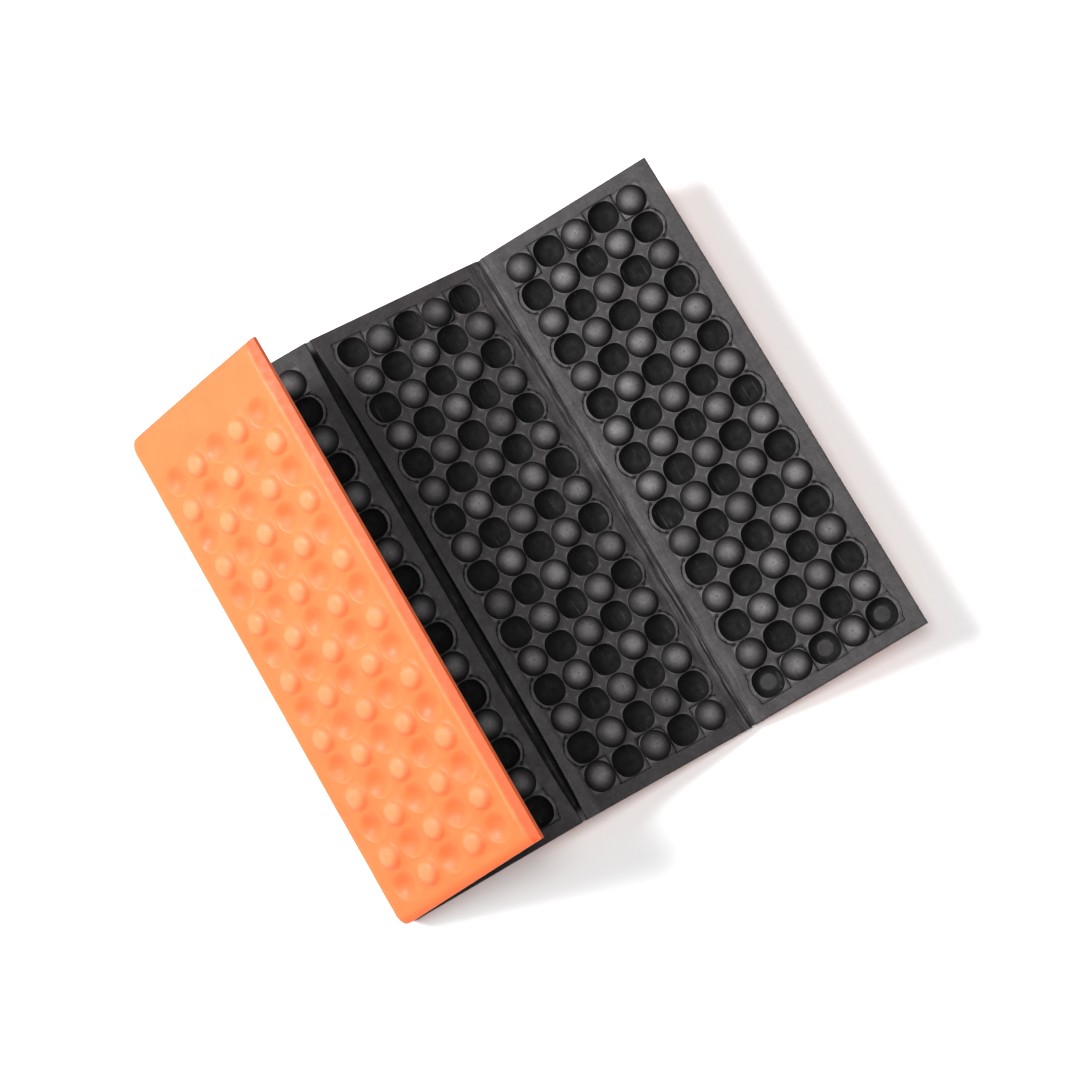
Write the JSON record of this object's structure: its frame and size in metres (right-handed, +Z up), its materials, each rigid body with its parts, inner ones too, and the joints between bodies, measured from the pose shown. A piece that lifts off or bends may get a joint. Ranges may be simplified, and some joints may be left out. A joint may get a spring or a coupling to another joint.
{
  "type": "folding foam sit mat",
  "caption": "Accordion-folding closed-cell foam sit mat, black on one face and orange on the other, with moulded egg-crate cells and living-hinge creases.",
  "frame": {"origin": "middle of the bounding box's bottom face, under the part-folded mat", "axes": "+X across the panels from the folded-back panel a towards the free edge of panel d, +Y along the creases, +Z up from the ground"},
  "size_m": [0.2918, 0.27, 0.0741],
  "materials": {
    "black_foam": "semi-gloss moulded closed-cell foam skin",
    "orange_foam": "satin moulded closed-cell foam skin"
  },
  "bodies": {
    "panel_a": {"panel_a_black_foam": "black_foam", "panel_a_orange_foam": "orange_foam", "crease_ab_web_on_a": "black_foam"},
    "panel_b": {"panel_b_black_foam": "black_foam", "panel_b_orange_foam": "orange_foam", "crease_ab_web_on_b": "black_foam", "crease_bc_web_on_b": "orange_foam"},
    "panel_c": {"panel_c_black_foam": "black_foam", "panel_c_orange_foam": "orange_foam", "crease_bc_web_on_c": "orange_foam", "crease_cd_web_on_c": "black_foam"},
    "panel_d": {"panel_d_black_foam": "black_foam", "panel_d_orange_foam": "orange_foam", "crease_cd_web_on_d": "black_foam"}
  },
  "joints": [
    {"name": "crease_ab_fold", "type": "hinge", "parent": "panel_b", "child": "panel_a", "pos_m": [-0.14318, 0, 0.00517], "axis": [0, 1, 0], "range_deg": [-146.7, 31.8]},
    {"name": "crease_bc_fold", "type": "hinge", "parent": "panel_b", "child": "panel_c", "pos_m": [-0.04623, 0, 0.01667], "axis": [0, 1, 0], "range_deg": [-19.4, 157.6]},
    {"name": "crease_cd_fold", "type": "hinge", "parent": "panel_c", "child": "panel_d", "pos_m": [0.05071, 0, 0.00517], "axis": [0, 1, 0], "range_deg": [-154.1, 24.4]}
  ]
}
